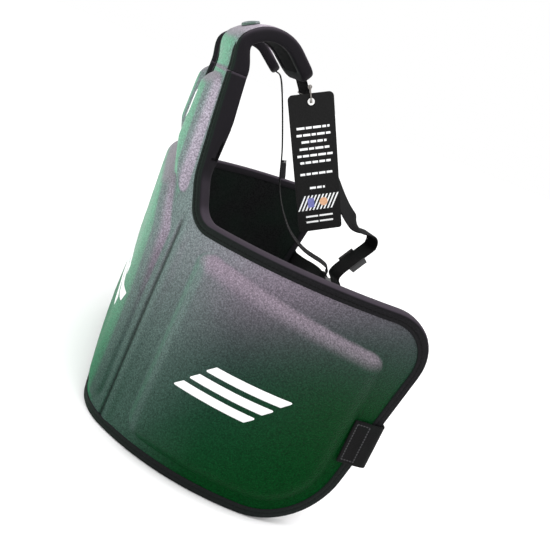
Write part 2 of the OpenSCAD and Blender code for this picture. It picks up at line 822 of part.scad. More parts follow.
chest_cover();
chest_foam();
chest_lining();
centre_pad_foam();
upper_pad_foam_left();
upper_pad_foam_right();
chest_binding();
wing_cover_left();
wing_foam_left();
wing_pad_foam_left();
wing_lining_left();
wing_binding_left();
belt_anchor_left();
wing_cover_right();
wing_foam_right();
wing_pad_foam_right();
wing_lining_right();
wing_binding_right();
belt_anchor_right();
shoulder_cover_left();
shoulder_foam_left();
shoulder_lining_left();
shoulder_binding_left();
shoulder_badge_left();
strap_label_left();
shoulder_webbing_left();
shoulder_slider_left();
shoulder_cover_right();
shoulder_foam_right();
shoulder_lining_right();
shoulder_binding_right();
shoulder_badge_right();
strap_label_right();
shoulder_webbing_right();
shoulder_slider_right();
belt_webbing_left();
belt_loop_left();
buckle_female();
belt_webbing_right();
belt_loop_right();
buckle_male();
prong_upper();
prong_lower();
tag_string_loop();
tag_string();
tag_eyelet();
hang_tag();
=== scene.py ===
import json
import math
import bpy
import numpy as np
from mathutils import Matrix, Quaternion, Vector
from mathutils.geometry import delaunay_2d_cdt

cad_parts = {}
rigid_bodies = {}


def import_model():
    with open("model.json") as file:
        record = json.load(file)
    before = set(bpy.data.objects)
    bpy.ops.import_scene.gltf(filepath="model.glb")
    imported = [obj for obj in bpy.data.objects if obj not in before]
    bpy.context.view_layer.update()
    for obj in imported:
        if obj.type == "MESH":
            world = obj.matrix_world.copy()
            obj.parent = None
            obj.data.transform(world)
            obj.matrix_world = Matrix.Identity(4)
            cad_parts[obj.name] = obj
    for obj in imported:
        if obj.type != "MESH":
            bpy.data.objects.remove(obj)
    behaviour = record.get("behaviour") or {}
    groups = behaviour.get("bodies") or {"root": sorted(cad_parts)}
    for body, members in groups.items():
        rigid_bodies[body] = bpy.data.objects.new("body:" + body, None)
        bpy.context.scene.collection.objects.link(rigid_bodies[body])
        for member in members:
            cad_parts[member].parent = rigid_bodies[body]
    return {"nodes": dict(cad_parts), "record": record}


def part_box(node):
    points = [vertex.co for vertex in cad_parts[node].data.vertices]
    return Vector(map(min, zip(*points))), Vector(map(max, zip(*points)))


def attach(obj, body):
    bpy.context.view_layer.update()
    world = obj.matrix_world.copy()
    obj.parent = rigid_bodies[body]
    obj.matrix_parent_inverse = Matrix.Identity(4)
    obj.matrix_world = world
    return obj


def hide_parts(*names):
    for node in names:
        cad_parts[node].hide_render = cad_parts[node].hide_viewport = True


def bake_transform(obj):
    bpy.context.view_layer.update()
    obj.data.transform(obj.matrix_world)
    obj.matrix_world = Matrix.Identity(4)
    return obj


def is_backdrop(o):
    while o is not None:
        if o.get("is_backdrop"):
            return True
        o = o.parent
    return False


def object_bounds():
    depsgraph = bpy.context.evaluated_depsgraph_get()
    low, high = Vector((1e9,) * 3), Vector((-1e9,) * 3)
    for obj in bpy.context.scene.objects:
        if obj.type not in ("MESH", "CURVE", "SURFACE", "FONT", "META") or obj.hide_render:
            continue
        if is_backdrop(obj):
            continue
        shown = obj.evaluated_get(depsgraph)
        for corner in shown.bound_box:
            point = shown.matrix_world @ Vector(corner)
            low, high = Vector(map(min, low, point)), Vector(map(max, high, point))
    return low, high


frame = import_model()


def save_size(key, sizes):
    lo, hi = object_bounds()
    sizes[key] = [list(lo), list(hi)]
    return sizes


sizes = save_size("cad", {})
for blocker in list(bpy.data.objects):
    if blocker.type in ("LIGHT", "CAMERA"):
        bpy.data.objects.remove(blocker)

# ---- shape of the panels -------------------------------------------------------------------

PANEL_T = 11.7  # skin, foam and lining together
FRONT_Y = -PANEL_T / 2
LEAN = math.radians(4)  # the panel leans back by this
ARCS = ((106.0, math.radians(1)), (69.0, math.radians(42)), (285.0, math.radians(51.5)))  # length, turn
END_S = 460.0  # the wing's rear edge
FOLD_S = 171.0  # the fold groove between chest and wing
ARM_CUT_Z = (286, 300)  # above this band the free edge is cut square to the front


def curve(s):
    """Heading and plan point at distance s along the panels' base surface."""
    s = np.asarray(s, float)
    head = np.zeros_like(s)
    x = np.zeros_like(s)
    y = np.full_like(s, FRONT_Y)
    left = s.copy()
    for i, (length, turn) in enumerate(ARCS):
        r = length / turn
        step = np.clip(left, 0 if i else -500, length if i < 2 else 500)
        new = head + step / r
        x = x + r * (np.sin(new) - np.sin(head))
        y = y + r * (np.cos(head) - np.cos(new))
        head = new
        left = left - step
    return head, x, y


def smooth(x, a, b):
    t = np.clip((np.asarray(x, float) - a) / (b - a), 0, 1)
    return t * t * (3 - 2 * t)


def panel(s, z, d):
    """Point of the left half at distance s, height z and depth d behind the base surface."""
    # a square cut lets deeper layers reach further out
    reach = np.maximum(d, 0) * np.tan(np.minimum(curve(s)[0], 0.9))
    s = s + np.clip(FOLD_S - np.asarray(s, float), 0, reach) * smooth(z, *ARM_CUT_Z)
    head, x, y = curve(s)
    x = x - d * np.sin(head)
    y = y + d * np.cos(head)
    return np.stack([x, y / math.cos(LEAN) + z * math.tan(LEAN), z + 0 * x], -1) / 1000


table_s = np.linspace(0, END_S, 2000)[:1600]  # as far as x still grows
table_x = curve(table_s)[1]


def s_at(x):
    """Distance along the base surface at which it is x from the middle plane."""
    return float(np.interp(x, table_x, table_s))


STRAP_X, STRAP_HALF, CREASE = 111.0, 41.0, 400.0
ARM_S = s_at(152.0)
STRAP_TURN = math.radians(9)
STRAP_Y = float(panel(STRAP_X, CREASE, 0.0)[1]) * 1000 - 1


def rounded(points, n=8):
    """Closed outline with arcs at its corners; entries are (u, v, radius)."""
    out = []
    for i, (*b, r) in enumerate(points):
        b = np.array(b, float)
        a = np.array(points[i - 1][:2], float)
        c = np.array(points[(i + 1) % len(points)][:2], float)
        if r <= 0:
            out.append(b)
            continue
        u, w = (a - b) / np.linalg.norm(a - b), (c - b) / np.linalg.norm(c - b)
        half = math.acos(np.clip(u @ w, -1, 1)) / 2
        o = b + (u + w) / np.linalg.norm(u + w) * r / math.sin(half)
        p = b + u * r / math.tan(half) - o
        sweep = (math.pi - 2 * half) * (-1 if u[0] * w[1] - u[1] * w[0] > 0 else 1)
        for k in range(n + 1):
            t = sweep * k / n
            ct, st = math.cos(t), math.sin(t)
            out.append(o + [p[0] * ct - p[1] * st, p[0] * st + p[1] * ct])
    return np.array(out)


def resample(points, step, closed=True):
    """Points spaced evenly along an outline, keeping its corners."""
    pts = np.asarray(points, float)
    ends = np.roll(pts, -1, 0) if closed else pts[1:]
    out = []
    for a, b in zip(pts, ends):
        n = max(1, int(round(np.linalg.norm(b - a) / step)))
        if np.linalg.norm(b - a) < 1e-6:
            continue
        out += [a + (b - a) * k / n for k in range(n)]
    if not closed:
        out.append(pts[-1])
    return np.array(out)


def inside_distance(p, outline):
    """Distance from points to an outline, positive inside."""
    best = np.full(len(p), 1e9)
    odd = np.zeros(len(p), bool)
    for a, b in zip(outline, np.roll(outline, -1, 0)):
        ab = b - a
        t = np.clip(((p - a) @ ab) / max(ab @ ab, 1e-12), 0, 1)
        best = np.minimum(best, np.linalg.norm(p - a - t[:, None] * ab, axis=1))
        cross = (a[1] > p[:, 1]) != (b[1] > p[:, 1])
        with np.errstate(divide="ignore", invalid="ignore"):
            at = a[0] + (p[:, 1] - a[1]) / (b[1] - a[1]) * ab[0]
        odd ^= cross & (p[:, 0] < at)
    return np.where(odd, best, -best)


NECK_X, NECK_Z = 70, 318
PANEL_OUTLINE = [
    (0, 1.2, 0), (428.8, 1.2, 80), (END_S, 260, 50), (191, 260, 26), (171.5, 300, 50),
    (ARM_S, CREASE, 0), (NECK_X, CREASE, 0), (NECK_X, NECK_Z, 45), (0, NECK_Z, 0)]
CENTRE_PAD = rounded([(-160, 17, 22), (160, 17, 22), (160, 236, 16), (132, 284, 18),
                      (-132, 284, 18), (-160, 236, 16)])
UPPER_PAD = rounded([(84, 304, 12), (108, 306, 14), (161, 266, 7), (144, 393, 14), (84, 393, 14)])
WING_PAD = rounded([(208, 22, 20), (418, 22, 60), (418, 213, 20), (208, 240, 16)])
panel_edge = rounded(PANEL_OUTLINE, 14)


def pad(p, outline, rise, shoulder):
    """Height of a moulded pad with rounded shoulders."""
    t = np.clip(inside_distance(p, outline) / shoulder, 0, 1)
    return rise * (1 - (1 - t) ** 2) ** 0.85


def ripple(u, v, seed):
    """Small uneven waves, the same at every run."""
    rng = np.random.default_rng(seed)
    out = np.zeros_like(np.asarray(u, float))
    for _ in range(9):
        a, f, ph = rng.uniform(0, 6.3), rng.uniform(0.05, 0.16), rng.uniform(0, 6.3)
        out += np.sin((u * math.cos(a) + v * math.sin(a)) * f + ph)
    return out / 9


def relief(s, z):
    """Height of the leather above the base surface."""
    p = np.stack([s, z], -1)
    centre_rise = 4.5 + 5.5 * smooth(z, 130, 285)
    h = pad(p, CENTRE_PAD, centre_rise, 20)
    h = h + pad(p, UPPER_PAD, 9.5, 17)
    wing = pad(p, WING_PAD, 10.0, 19)
    h = h + wing + 1.6 * np.clip(inside_distance(p, WING_PAD) / 100, 0, 1)
    groove = np.exp(-(((s - FOLD_S) / 2.6) ** 2)) * (1 - smooth(z, 238, 268))
    swell = np.exp(-(((s - FOLD_S - 9) / 7) ** 2)) * (1 - smooth(z, 225, 262))
    h = h + 0.7 * swell - 1.1 * groove
    h = h + 0.35 * ripple(s, z, 3) * smooth(inside_distance(p, panel_edge), 4, 20)
    return np.maximum(h, -1.1)


# ---- shape of the shoulder straps ----------------------------------------------------------

ARCH_Y, ARCH_Z, ARCH_R, TAIL = 41.0, 407.0, 43.0, 27.0
ARCH_END = math.radians(52)  # the straight tail starts here
angles = np.linspace(math.radians(176), ARCH_END, 60)
arch = np.stack([ARCH_Y + ARCH_R * np.cos(angles), ARCH_Z + ARCH_R * np.sin(angles)], -1)
arch = np.concatenate([[[-0.4, CREASE]], [[-1.2, 403.0]], arch])
tail_dir = np.array([math.sin(ARCH_END), -math.cos(ARCH_END)])
arch = np.concatenate([arch, arch[-1] + np.outer(np.linspace(1, TAIL, 20), tail_dir)])
arch_len = np.concatenate([[0], np.cumsum(np.linalg.norm(np.diff(arch, axis=0), axis=1))])
STRAP_L = float(arch_len[-1])
arch_tan = np.gradient(arch, arch_len, axis=0)
arch_tan /= np.linalg.norm(arch_tan, axis=1)[:, None]


def strap_t(degrees):
    """Distance along the strap at which its arch has this angle."""
    return float(np.interp(degrees, np.degrees(angles)[::-1], arch_len[2:62][::-1]))


def strap_half(t):
    """Half the strap's width at distance t."""
    y = np.interp(t, arch_len, arch[:, 0])
    return STRAP_HALF - 13 * np.clip((y - 15) / 115, 0, 1)


def strap(w, t, d):
    """Point of the left strap: w across, t along its outer face from the crease, d inwards."""
    w, t, d = np.broadcast_arrays(np.asarray(w, float), np.asarray(t, float), np.asarray(d, float))
    tt = np.clip(t, 0, STRAP_L)
    y, z = np.interp(tt, arch_len, arch[:, 0]), np.interp(tt, arch_len, arch[:, 1])
    ty, tz = np.interp(tt, arch_len, arch_tan[:, 0]), np.interp(tt, arch_len, arch_tan[:, 1])
    y, z = y + ty * (t - tt) + tz * d, z + tz * (t - tt) - ty * d
    ct, st = math.cos(STRAP_TURN), math.sin(STRAP_TURN)
    out = np.stack([STRAP_X + w * ct - y * st, STRAP_Y + w * st + y * ct, z], -1) / 1000
    s = STRAP_X + np.where(w > 0, w * (ARM_S - STRAP_X) / STRAP_HALF, w)
    low = panel(s, CREASE + t, d)
    k = smooth(t, 0, 46)[..., None]
    return low * (1 - k) + out * k


def strap_thick(t):
    return PANEL_T - 1.2 * smooth(t, 0, 40)


def strap_outline(r=12):
    """Up the outer side, round the end with corner radius r and down the neck side."""
    ts = np.linspace(0, STRAP_L, 60)
    past = ts - (STRAP_L - r)
    half = strap_half(ts)
    half = np.where(past > 0, half - r + np.sqrt(np.maximum(r * r - past ** 2, 0)), half)
    return np.concatenate([np.stack([half, ts], -1), np.stack([-half, ts], -1)[::-1]])


def strap_relief(w, t):
    """Height of the strap's leather above its outer face."""
    edge = np.clip((strap_half(t) - np.abs(w)) / 20, 0, 1)
    h = 2.6 * (1 - (1 - edge) ** 2) * smooth(t, 4, 34)
    h = h * (1 - 0.6 * smooth(t, STRAP_L - 30, STRAP_L))
    return h + 0.3 * ripple(w, t, 8) * edge * smooth(t, 3, 20)


# ---- mesh makers ---------------------------------------------------------------------------

def new_mesh(name, verts, faces, material, uv=None, flip=False, flat=False):
    mesh = bpy.data.meshes.new(name)
    faces = [tuple(reversed(f)) for f in faces] if flip else faces
    mesh.from_pydata([tuple(v) for v in verts], [], faces)
    if uv is not None:
        layer = mesh.uv_layers.new(name="place")
        index = np.zeros(len(mesh.loops), np.int32)
        mesh.loops.foreach_get("vertex_index", index)
        layer.data.foreach_set("uv", np.asarray(uv, np.float32)[index].ravel())
    mesh.polygons.foreach_set("use_smooth", [not flat] * len(mesh.polygons))
    mesh.validate()
    mesh.update()
    obj = bpy.data.objects.new(name, mesh)
    bpy.context.scene.collection.objects.link(obj)
    mesh.materials.append(material)
    return obj


def fill(outline, step, edge_step=None):
    """Points and triangles that fill an outline evenly."""
    rim = resample(outline, edge_step or step)
    lo, hi = rim.min(0), rim.max(0)
    grid = []
    for j, v in enumerate(np.arange(lo[1] + step / 2, hi[1], step * 0.866)):
        for u in np.arange(lo[0] + step * (0.5 if j % 2 else 1.0), hi[0], step):
            grid.append((u, v))
    grid = np.array(grid).reshape(-1, 2)
    grid = grid[inside_distance(grid, rim) > step * 0.55]
    pts = np.concatenate([rim, grid])
    n = len(rim)
    got = delaunay_2d_cdt([Vector(p) for p in pts], [], [list(range(n))], 1, 1e-7)
    verts = np.array([tuple(v) for v in got[0]], float)
    return verts, [tuple(f) for f in got[2]]


def turn(a, b, c):
    """Twice the signed area of a triangle."""
    return (b[0] - a[0]) * (c[1] - a[1]) - (b[1] - a[1]) * (c[0] - a[0])


def shell(name, outline, step, place, top, bottom, material, mirror=False, edge_step=None):
    """Closed skin between two depth functions of (u, v) on a surface."""
    pts, tris = fill(outline, step, edge_step)
    u, v = pts[:, 0], pts[:, 1]
    outer = place(u, v, top(u, v))
    inner = place(u, v, bottom(u, v))
    n = len(pts)
    if sum(turn(*pts[list(f)]) for f in tris[:50]) < 0:
        tris = [tuple(reversed(f)) for f in tris]
    edges = dict.fromkeys((f[i], f[(i + 1) % 3]) for f in tris for i in range(3))
    faces = list(tris) + [tuple(n + i for i in reversed(f)) for f in tris]
    faces += [(b, a, n + a, n + b) for a, b in edges if (b, a) not in edges]
    verts = np.concatenate([outer, inner])
    if mirror:
        verts = verts * [-1, 1, 1]
    uv = np.concatenate([pts, pts]) / 1000
    return new_mesh(name, verts, faces, material, uv, flip=mirror)


def tube(name, rings, material, uv_along, uv_round, closed=False, mirror=False, flip=False):
    """Closed body from a row of rings; each ring has the same number of points."""
    rings = np.asarray(rings, float)
    n, m = rings.shape[:2]
    verts = rings.reshape(-1, 3)
    faces = []
    for i in range(n if closed else n - 1):
        j = (i + 1) % n
        for k in range(m):
            l = (k + 1) % m
            faces.append((i * m + k, i * m + l, j * m + l, j * m + k))
    if not closed:
        faces.append(tuple(range(m - 1, -1, -1)))
        faces.append(tuple((n - 1) * m + k for k in range(m)))
    if mirror:
        verts = verts * [-1, 1, 1]
    uv = np.stack([np.repeat(uv_along, m), np.tile(uv_round, n)], -1)
    return new_mesh(name, verts, faces, material, uv, flip=(mirror != flip))


def path_data(path, closed=False):
    """Length along a path in (u, v) and the unit normal on its right-hand side."""
    d = np.gradient(path, axis=0)
    if closed:
        d = (np.roll(path, -1, 0) - np.roll(path, 1, 0)) / 2
    tan = d / np.maximum(np.linalg.norm(d, axis=1), 1e-9)[:, None]
    for _ in range(3):
        mid = (np.roll(tan, 1, 0) + 2 * tan + np.roll(tan, -1, 0)) / 4
        if not closed:
            mid[0], mid[-1] = tan[0], tan[-1]
        tan = mid / np.linalg.norm(mid, axis=1)[:, None]
    length = np.concatenate([[0], np.cumsum(np.linalg.norm(np.diff(path, axis=0), axis=1))])
    return length, np.stack([tan[:, 1], -tan[:, 0]], -1)


# section of the binding: inwards from the panel's edge, depth behind the outer face
BIND = np.array([
    (9.8, 0.5), (9.7, -0.5), (9.2, -1.0), (7.6, -1.2), (6.4, -1.15), (5.6, -0.85), (4.8, -1.15),
    (3.4, -1.3), (2.2, -1.2), (1.5, -0.75), (0.8, -1.0), (-0.3, -0.75), (-1.3, 0.3), (-1.9, 2.0),
    (-2.1, 4.2), (-2.1, 7.5), (-1.9, 9.7), (-1.3, 11.4), (-0.3, 12.4), (1.2, 12.9), (5.0, 12.9),
    (9.2, 12.7), (9.8, 12.0), (9.6, 11.3), (3.0, 11.2), (0.8, 10.2), (0.3, 8.0), (0.3, 4.0),
    (0.8, 1.4), (3.0, 0.55), (8.0, 0.6)])
bind_round = np.concatenate([[0], np.cumsum(np.linalg.norm(np.diff(BIND, axis=0), axis=1))]) / 1000


def binding(name, path, place, thick, material, mirror=False):
    """Folded strip swept along an edge path; the solid lies on the path's left."""
    length, out = path_data(path)
    rings = []
    for p, o, t in zip(path, out, thick):
        a, b = BIND[:, 0], BIND[:, 1].copy()
        b = np.where(b > 5, b - PANEL_T + t, b)
        rings.append(place(p[0] - a * o[0], p[1] - a * o[1], b))
    return tube(name, rings, material, length / 1000, bind_round, mirror=mirror)


def spline(points, step):
    """Smooth curve through control points, evenly sampled."""
    p = np.asarray(points, float)
    p = np.concatenate([[2 * p[0] - p[1]], p, [2 * p[-1] - p[-2]]])
    out = []
    for i in range(1, len(p) - 2):
        n = max(2, int(np.linalg.norm(p[i + 1] - p[i]) / step))
        for k in range(n):
            t = k / n
            out.append(0.5 * (2 * p[i] + (p[i + 1] - p[i - 1]) * t
                              + (2 * p[i - 1] - 5 * p[i] + 4 * p[i + 1] - p[i + 2]) * t * t
                              + (3 * p[i] - p[i - 1] - 3 * p[i + 1] + p[i + 2]) * t ** 3))
    out.append(p[-2])
    return np.array(out)


def webbing(name, points, across, width, material, thick=1.8, closed=False, mirror=False):
    """Woven strip along points in millimetres; across is the unit direction of its width."""
    pts = np.asarray(points, float)
    across = np.broadcast_to(np.asarray(across, float), pts.shape)
    tan = (np.roll(pts, -1, 0) - np.roll(pts, 1, 0)) if closed else np.gradient(pts, axis=0)
    tan = tan / np.linalg.norm(tan, axis=1)[:, None]
    nor = np.cross(tan, across)
    nor = nor / np.linalg.norm(nor, axis=1)[:, None]
    half, h = width / 2, thick / 2
    section = [(-half, 0.0), (-half + 0.25, h * 0.8), (-half + 1.0, h), (-half + 2.2, h * 0.82)]
    section += [(x, h * 0.86) for x in np.linspace(-half + 4, half - 4, 5)]
    section += [(half - 2.2, h * 0.82), (half - 1.0, h), (half - 0.25, h * 0.8), (half, 0.0)]
    section += [(x, -y) for x, y in section[-2:0:-1]]
    section = np.array(section)
    rings = pts[:, None] + across[:, None] * section[None, :, :1] + nor[:, None] * section[None, :, 1:]
    length = np.concatenate([[0], np.cumsum(np.linalg.norm(np.diff(pts, axis=0), axis=1))])
    round_uv = (section[:, 0] + half) / 1000
    return tube(name, rings / 1000, material, length / 1000, round_uv, closed, mirror, flip=True)


# ---- materials -----------------------------------------------------------------------------

class Nodes:
    """Short way to build a node material."""

    def __init__(self, name):
        self.mat = bpy.data.materials.new(name)
        self.mat.use_nodes = True
        self.tree = self.mat.node_tree
        self.bsdf = self.tree.nodes["Principled BSDF"]
        self.out = self.tree.nodes["Material Output"]
        self.place = self.add("ShaderNodeTexCoord").outputs["Object"]

    def add(self, kind, **props):
        node = self.tree.nodes.new(kind)
        for key, value in props.items():
            setattr(node, key, value)
        return node

    def link(self, a, b):
        self.tree.links.new(a, b)
        return b

    def feed(self, socket, value):
        if hasattr(value, "is_output"):
            self.tree.links.new(value, socket)
        else:
            socket.default_value = value

    def math(self, op, a, b=0.0, c=0.0, clamp=False):
        node = self.add("ShaderNodeMath", operation=op, use_clamp=clamp)
        self.feed(node.inputs[0], a)
        self.feed(node.inputs[1], b)
        self.feed(node.inputs[2], c)
        return node.outputs[0]

    def ramp(self, value, a, b, to_a=0.0, to_b=1.0):
        node = self.add("ShaderNodeMapRange", interpolation_type="SMOOTHSTEP")
        self.feed(node.inputs["Value"], value)
        for key, v in (("From Min", a), ("From Max", b), ("To Min", to_a), ("To Max", to_b)):
            node.inputs[key].default_value = v
        return node.outputs[0]

    def mix(self, f, a, b, blend="MIX"):
        node = self.add("ShaderNodeMix", data_type="RGBA", blend_type=blend)
        self.feed(node.inputs[0], f)
        for socket, v in ((node.inputs[6], a), (node.inputs[7], b)):
            self.feed(socket, v if hasattr(v, "is_output") else (*v, 1.0))
        return node.outputs[2]

    def noise(self, scale, detail=3.0, rough=0.5, place=None):
        node = self.add("ShaderNodeTexNoise")
        node.inputs["Scale"].default_value = scale
        node.inputs["Detail"].default_value = detail
        node.inputs["Roughness"].default_value = rough
        self.link(place or self.place, node.inputs["Vector"])
        return node.outputs[0]

    def cells(self, scale, feature="F1", place=None):
        node = self.add("ShaderNodeTexVoronoi", feature=feature)
        node.inputs["Scale"].default_value = scale
        self.link(place or self.place, node.inputs["Vector"])
        return node.outputs["Distance"]

    def bump(self, height, strength, distance, normal=None):
        node = self.add("ShaderNodeBump")
        node.inputs["Strength"].default_value = strength
        node.inputs["Distance"].default_value = distance
        self.link(height, node.inputs["Height"])
        if normal is not None:
            self.link(normal, node.inputs["Normal"])
        return node.outputs[0]

    def uv(self):
        """Place on the flat piece, in metres."""
        node = self.add("ShaderNodeUVMap", uv_map="place")
        split = self.add("ShaderNodeSeparateXYZ")
        self.link(node.outputs[0], split.inputs[0])
        return split.outputs[0], split.outputs[1]

    def facing(self):
        """World normal and position, split."""
        geo = self.add("ShaderNodeNewGeometry")
        n, p = self.add("ShaderNodeSeparateXYZ"), self.add("ShaderNodeSeparateXYZ")
        self.link(geo.outputs["Normal"], n.inputs[0])
        self.link(geo.outputs["Position"], p.inputs[0])
        return n.outputs, p.outputs

    def near(self, value, place, half):
        """1 where value is less than half away from place."""
        return self.math("LESS_THAN", self.math("ABSOLUTE", self.math("SUBTRACT", value, place)), half)

    def within(self, value, low, high):
        above = self.math("GREATER_THAN", value, low)
        return self.math("MULTIPLY", above, self.math("LESS_THAN", value, high))

    def dashes(self, value, per_metre, share):
        return self.math("LESS_THAN", self.math("FRACT", self.math("MULTIPLY", value, per_metre)), share)

    def set(self, **values):
        """Feeds the shader's sockets and gives the material."""
        for key, value in values.items():
            self.feed(self.bsdf.inputs[key.replace("_", " ")], value)
        return self.mat


def paint_reflection_and_highlight(m, dark, green, pale, green_amount, pale_amount):
    """Painted reflection and highlight: black that turns green towards the front and low rear as a painted
    green reflection, and pinkish grey where it faces up as a painted highlight.
    """
    n, p = m.facing()
    front = m.ramp(m.math("MULTIPLY", n[1], -1.0), 0.30, 0.95)
    rear = m.math("MULTIPLY", m.ramp(n[1], 0.12, 0.7), m.ramp(p[2], 0.24, 0.02, 0.0, 0.9))
    low = m.math("MULTIPLY", m.ramp(p[2], 0.20, 0.0), m.ramp(p[1], 0.0, 0.28, 0.12, 0.5))
    # painted green reflection towards the front, the low rear and low down
    g = m.math("MAXIMUM", m.math("MAXIMUM", front, rear), low)
    g = m.math("MULTIPLY", g, green_amount, clamp=True)
    # painted highlight where the surface faces up
    up = m.math("MULTIPLY", m.ramp(n[2], 0.10, 0.75), pale_amount, clamp=True)
    base = m.mix(g, dark, green)
    return m.mix(up, base, pale)


def painted_sheen_by_place(m):
    """Painted sheen and reflection in the base colour of black leather, set by place and facing: dark green
    low and to the rear, lilac grey high up, green in front.
    """
    n, p = m.facing()
    # q is the height, less towards the rear, made uneven
    q = m.math("SUBTRACT", p[2], m.math("MULTIPLY", m.math("SUBTRACT", p[1], 0.05), 0.40))
    q = m.math("ADD", q, m.math("MULTIPLY", m.math("SUBTRACT", m.noise(7, 3), 0.5), 0.03))
    front_low = m.math("MULTIPLY", m.ramp(p[1], 0.16, 0.03), m.ramp(p[2], 0.20, 0.04, 0.0, 0.035))
    q = m.math("ADD", q, front_low)
    # painted light by height: dark green reflection low down, lilac grey highlight high up
    ramp = m.add("ShaderNodeValToRGB")
    ramp.color_ramp.interpolation = "B_SPLINE"
    painted_light_stops = ((0.0, (0.001, 0.036, 0.006)), (0.20, (0.005, 0.042, 0.016)),
             (0.34, (0.009, 0.036, 0.023)), (0.46, (0.030, 0.046, 0.045)),
             (0.58, (0.150, 0.122, 0.155)), (0.70, (0.27, 0.23, 0.285)), (1.0, (0.42, 0.38, 0.45)))
    band = ramp.color_ramp
    while len(band.elements) < len(painted_light_stops):
        band.elements.new(0.5)
    for element, (place, rgb) in zip(band.elements, painted_light_stops):
        element.position = place
        element.color = (*rgb, 1.0)
    m.feed(ramp.inputs[0], m.math("DIVIDE", m.math("ADD", q, 0.02), 0.38, clamp=True))
    # painted reflection: grey-green and green on faces turned to the front, lighter higher up
    front = m.math("MULTIPLY", n[1], -1.0)
    high = m.ramp(p[2], 0.0, 0.34)
    mid = m.mix(high, (0.045, 0.085, 0.068), (0.160, 0.210, 0.205))
    green = m.mix(high, (0.030, 0.160, 0.078), (0.130, 0.360, 0.230))
    # painted dark green reflection low at the rear
    rear_low = m.math("MULTIPLY", m.ramp(p[1], 0.10, 0.24), m.ramp(p[2], 0.250, 0.14, 0.0, 0.85))
    color = m.mix(rear_low, ramp.outputs[0], (0.0008, 0.034, 0.006))
    color = m.mix(m.ramp(front, 0.42, 0.80), color, mid)
    chest_only = m.ramp(m.uv()[0], 0.200, 0.160, 0.2, 1.0)  # and the straps
    color = m.mix(m.math("MULTIPLY", m.ramp(front, 0.86, 0.99), chest_only), color, green)
    # painted highlight: lilac grey where the surface faces up, high up
    up = m.math("MULTIPLY", m.ramp(n[2], 0.12, 0.75), m.ramp(q, -0.02, 0.12, 0.0, 0.6))
    return m.mix(up, color, (0.27, 0.215, 0.265))


def leather():
    m = Nodes("leather_pebbled")
    grain = m.cells(640)
    fine = m.noise(1500, 2)
    broad = m.noise(9, 3)
    # the base colour is painted sheen and reflection
    color = painted_sheen_by_place(m)
    pebble = m.noise(620, 2, 0.6)
    grain_and_fold_shade = m.ramp(grain, 0.20, 0.75, 1.10, 0.74)
    grain_and_fold_shade = m.math("MULTIPLY", grain_and_fold_shade, m.ramp(pebble, 0.36, 0.64, 0.76, 1.24))
    # painted shade: darker in the fold groove, which ends near the wing's top
    u, v = m.uv()
    off_fold = m.math("ABSOLUTE", m.math("SUBTRACT", u, FOLD_S / 1000))
    fold = m.ramp(off_fold, 0.0003, 0.0042, 0.30, 1.0)
    fold = m.math("MAXIMUM", fold, m.ramp(v, 0.235, 0.262))
    grain_and_fold_shade = m.math("MULTIPLY", grain_and_fold_shade, fold)
    grey = m.add("ShaderNodeCombineColor")
    for i in range(3):
        m.link(grain_and_fold_shade, grey.inputs[i])
    # the pebble grain and the painted shade in the fold groove darken the colour
    color = m.mix(1.0, color, grey.outputs[0], "MULTIPLY")
    height = m.math("ADD", m.math("MULTIPLY", grain, -0.8), m.math("MULTIPLY", fine, 0.25))
    height = m.math("ADD", height, m.math("MULTIPLY", pebble, 0.6))
    normal = m.bump(height, 0.75, 0.0011)
    rough = m.ramp(broad, 0.3, 0.7, 0.36, 0.48)
    gloss = m.ramp(m.facing()[1][2], 0.06, 0.30, 0.015, 0.17)
    return m.set(Base_Color=color, Roughness=rough, Normal=normal, Specular_IOR_Level=gloss)


def binding_cloth():
    m = Nodes("binding_two_band")
    u, v = m.uv()
    flat = m.ramp(v, 0.0102, 0.0110, 1.0, 0.0)  # 1 on the band that lies on the leather
    rib = m.math("MULTIPLY", m.math("ADD", m.math("SINE", m.math("MULTIPLY", u, 5200.0)), 1.0), 0.5)
    weave = m.math("MULTIPLY", rib, m.noise(2400, 2))
    stitch = m.math("MULTIPLY", m.dashes(u, 240.0, 0.68), m.near(v, 0.0052, 0.00055))
    # painted green reflection towards the front and low rear, and painted highlight where it faces up, on
    # both bands
    outer = paint_reflection_and_highlight(m, (0.004, 0.004, 0.0045), (0.003, 0.014, 0.007), (0.010, 0.0085, 0.011), 0.8, 0.9)
    inner = paint_reflection_and_highlight(m, (0.007, 0.006, 0.008), (0.003, 0.013, 0.008), (0.034, 0.027, 0.036), 0.8, 1.0)
    color = m.mix(flat, inner, outer)
    speck = m.ramp(m.noise(900, 2), 0.35, 0.7)
    speck = m.math("MULTIPLY", m.math("MULTIPLY", speck, flat), 0.4)
    color = m.mix(speck, color, (0.017, 0.015, 0.019))
    color = m.mix(m.math("MULTIPLY", stitch, 0.85), color, (0.001, 0.001, 0.001))
    height = m.math("MULTIPLY", m.math("MULTIPLY", weave, flat), 0.8)
    height = m.math("ADD", height, m.math("MULTIPLY", stitch, 1.5))
    height = m.math("ADD", height, m.math("MULTIPLY", m.noise(1300, 2), 0.25))
    return m.set(Base_Color=color, Roughness=0.66, Normal=m.bump(height, 0.6, 0.0006),
                 Specular_IOR_Level=0.10)


def lining_cloth():
    m = Nodes("lining_brushed_mesh")
    holes = m.cells(430)
    nap = m.noise(1800, 3, 0.7)
    broad = m.noise(14, 3)
    color = m.mix(m.ramp(holes, 0.2, 0.6), (0.0015, 0.0015, 0.0018), (0.006, 0.0065, 0.0065))
    color = m.mix(m.math("MULTIPLY", m.ramp(broad, 0.4, 0.75), 0.35), color, (0.004, 0.012, 0.007))
    height = m.math("ADD", m.math("MULTIPLY", holes, -0.7), m.math("MULTIPLY", nap, 0.3))
    return m.set(Base_Color=color, Roughness=0.92, Normal=m.bump(height, 0.4, 0.0005),
                 Specular_IOR_Level=0.04, Sheen_Weight=0.02)


